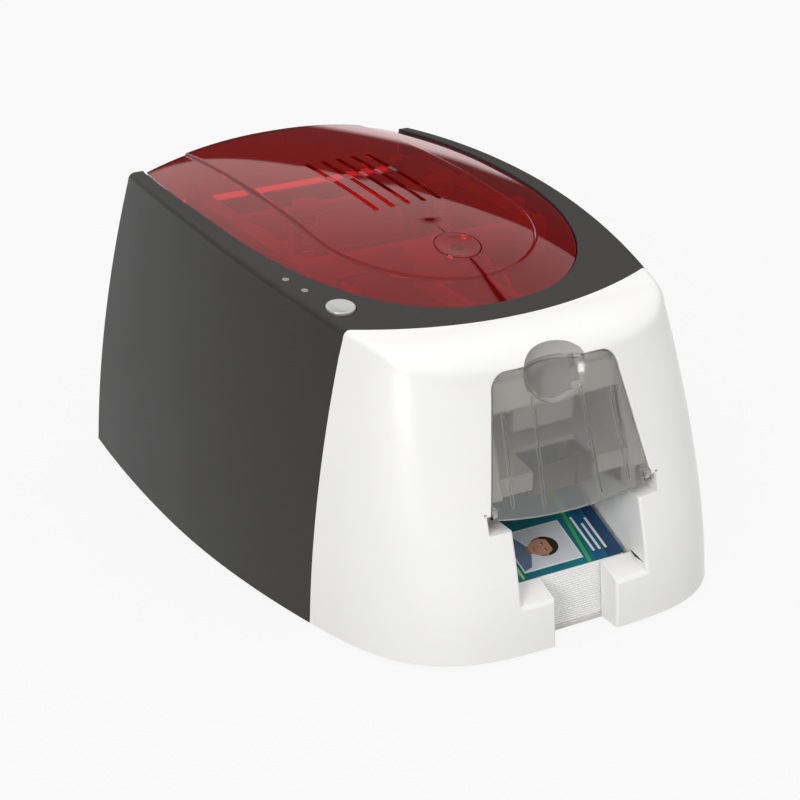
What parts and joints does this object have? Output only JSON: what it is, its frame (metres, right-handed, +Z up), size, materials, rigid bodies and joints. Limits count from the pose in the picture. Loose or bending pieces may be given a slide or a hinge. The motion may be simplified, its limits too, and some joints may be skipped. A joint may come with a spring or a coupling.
{
  "type": "id card printer",
  "caption": "Desktop card printer with a domed see-through lid, a see-through feeder door over an open card hopper, and a ribbon and roller mechanism inside.",
  "frame": {"origin": "on the floor, at the middle of the width and length", "axes": "+X to the right seen from the front, +Y to the back, +Z up; the front with the hopper faces -Y"},
  "size_m": [0.206, 0.2699, 0.1424],
  "materials": {
    "dark_casing": "satin",
    "white_front": "satin",
    "black_plastic": "satin",
    "rubber": "matte",
    "red_clear": "gloss",
    "grey_plastic": "matte",
    "nylon": "satin",
    "steel": "brushed",
    "steel_sheet": "satin",
    "alloy": "satin",
    "smoke_clear": "gloss",
    "silver_plastic": "satin",
    "lamp_white": "gloss",
    "board_green": "satin",
    "black_metal": "satin",
    "brass": "satin",
    "blue_rubber": "matte",
    "film_yellow": "gloss",
    "film_dark": "gloss",
    "card_printed": "gloss",
    "card_white": "satin"
  },
  "bodies": {
    "printer": {"main_casing": "dark_casing", "front_casing": "white_front", "base_tray": "black_plastic", "rubber_feet": "rubber", "connector_panel": "black_plastic", "lid_hinge_pins": "steel", "door_pins": "steel", "led_lenses": "lamp_white", "left_side_frame": "steel_sheet", "right_side_frame": "steel_sheet", "tie_bars": "steel", "hopper_tray": "grey_plastic", "feeder_tray": "grey_plastic", "card_guide": "grey_plastic", "mainboard": "board_green", "usb_socket": "steel", "power_socket": "black_plastic", "transport_motor": "black_metal", "ribbon_motor": "steel", "gear_studs": "steel", "shaft_bushes": "brass", "ribbon_film": "film_yellow", "casing_screws": "steel", "frame_screws": "steel", "switch_board": "board_green"},
    "lid": {"lid_shell": "red_clear", "lid_frame": "grey_plastic", "spring_posts": "nylon", "head_spring_left": "steel", "head_spring_right": "steel", "release_spring": "steel"},
    "head": {"head_carriage": "black_plastic", "print_head": "alloy"},
    "release": {"release_button": "red_clear"},
    "latch": {"lid_latch": "black_plastic"},
    "door": {"feeder_door": "smoke_clear"},
    "button": {"control_button": "silver_plastic"},
    "platen": {"platen_shaft": "steel", "platen_sleeve": "rubber", "platen_gear": "nylon"},
    "drive_roller": {"drive_shaft": "steel", "drive_tyres": "rubber", "drive_gear": "nylon"},
    "feed_roller": {"feed_shaft": "steel", "feed_tyres": "rubber", "feed_gear": "nylon"},
    "relay": {"relay_gear": "nylon"},
    "idler": {"idler_gear": "nylon"},
    "pinion": {"motor_pinion": "brass"},
    "cleaning_roller": {"cleaning_core": "steel", "cleaning_sleeve": "blue_rubber"},
    "takeup": {"takeup_core": "nylon", "takeup_roll": "film_dark", "takeup_gear": "nylon"},
    "supply": {"supply_core": "nylon", "supply_roll": "film_yellow"},
    "ribbon_gear": {"ribbon_idler": "nylon"},
    "ribbon_drive": {"ribbon_pinion": "brass"},
    "cards": {"printed_card": "card_printed", "blank_cards": "card_white"}
  },
  "joints": [
    {"name": "lid_hinge", "type": "hinge", "parent": "printer", "child": "lid", "pos_m": [0, 0.1315, 0.1125], "axis": [-1, 0, 0], "range_deg": [0, 70]},
    {"name": "head_float", "type": "slide", "parent": "lid", "child": "head", "axis": [0, 0, 1], "range_m": [0, 0.002], "stiffness_N_per_m": 600, "springref_m": -0.004, "deforming": ["head_spring_left", "head_spring_right"]},
    {"name": "release_press", "type": "slide", "parent": "lid", "child": "release", "axis": [0, 0.2419, -0.9703], "range_m": [0, 0.002], "stiffness_N_per_m": 300, "springref_m": -0.001, "deforming": ["release_spring"]},
    {"name": "latch_slide", "type": "slide", "parent": "lid", "child": "latch", "axis": [0, 1, 0], "range_m": [0, 0.002]},
    {"name": "door_hinge", "type": "hinge", "parent": "printer", "child": "door", "pos_m": [0, -0.12, 0.0586], "axis": [1, 0, 0], "range_deg": [0, 95]},
    {"name": "button_press", "type": "slide", "parent": "printer", "child": "button", "axis": [0, 0.1349, -0.9909], "range_m": [0, 0.0006], "stiffness_N_per_m": 600, "springref_m": -0.0005},
    {"name": "platen_spin", "type": "hinge", "parent": "printer", "child": "platen", "pos_m": [0, 0.038, 0.076], "axis": [1, 0, 0], "continuous": true},
    {"name": "drive_spin", "type": "hinge", "parent": "printer", "child": "drive_roller", "pos_m": [0, 0.008, 0.076], "axis": [1, 0, 0], "continuous": true},
    {"name": "feed_spin", "type": "hinge", "parent": "printer", "child": "feed_roller", "pos_m": [0, -0.046, 0.076], "axis": [1, 0, 0], "continuous": true},
    {"name": "relay_spin", "type": "hinge", "parent": "printer", "child": "relay", "pos_m": [0, -0.019, 0.076], "axis": [1, 0, 0], "continuous": true},
    {"name": "idler_spin", "type": "hinge", "parent": "printer", "child": "idler", "pos_m": [0, 0.023, 0.06277], "axis": [1, 0, 0], "continuous": true},
    {"name": "pinion_spin", "type": "hinge", "parent": "printer", "child": "pinion", "pos_m": [0, 0.023, 0.04677], "axis": [1, 0, 0], "continuous": true},
    {"name": "cleaning_spin", "type": "hinge", "parent": "printer", "child": "cleaning_roller", "pos_m": [0, -0.02, 0.09086], "axis": [1, 0, 0], "continuous": true},
    {"name": "takeup_spin", "type": "hinge", "parent": "printer", "child": "takeup", "pos_m": [0, 0.002, 0.104], "axis": [1, 0, 0], "continuous": true},
    {"name": "supply_spin", "type": "hinge", "parent": "printer", "child": "supply", "pos_m": [0, 0.08, 0.104], "axis": [1, 0, 0], "continuous": true},
    {"name": "ribbon_gear_spin", "type": "hinge", "parent": "printer", "child": "ribbon_gear", "pos_m": [0, -0.0051, 0.07795], "axis": [1, 0, 0], "continuous": true},
    {"name": "ribbon_drive_spin", "type": "hinge", "parent": "printer", "child": "ribbon_drive", "pos_m": [0, -0.016, 0.06], "axis": [1, 0, 0], "continuous": true},
    {"name": "card_lift", "type": "slide", "parent": "printer", "child": "cards", "axis": [0, 0.1191, 0.9929], "range_m": [0, 0.01]}
  ],
  "couplings": [
    {"joint": "idler_spin", "follows": "platen_spin", "ratio": -1},
    {"joint": "drive_spin", "follows": "platen_spin", "ratio": 1},
    {"joint": "relay_spin", "follows": "platen_spin", "ratio": -0.58824},
    {"joint": "feed_spin", "follows": "platen_spin", "ratio": 1},
    {"joint": "pinion_spin", "follows": "platen_spin", "ratio": 1.6667},
    {"joint": "ribbon_gear_spin", "follows": "takeup_spin", "ratio": -0.8},
    {"joint": "ribbon_drive_spin", "follows": "takeup_spin", "ratio": 2},
    {"joint": "supply_spin", "follows": "takeup_spin", "ratio": 0.62069},
    {"joint": "latch_slide", "follows": "release_press", "ratio": 1}
  ]
}
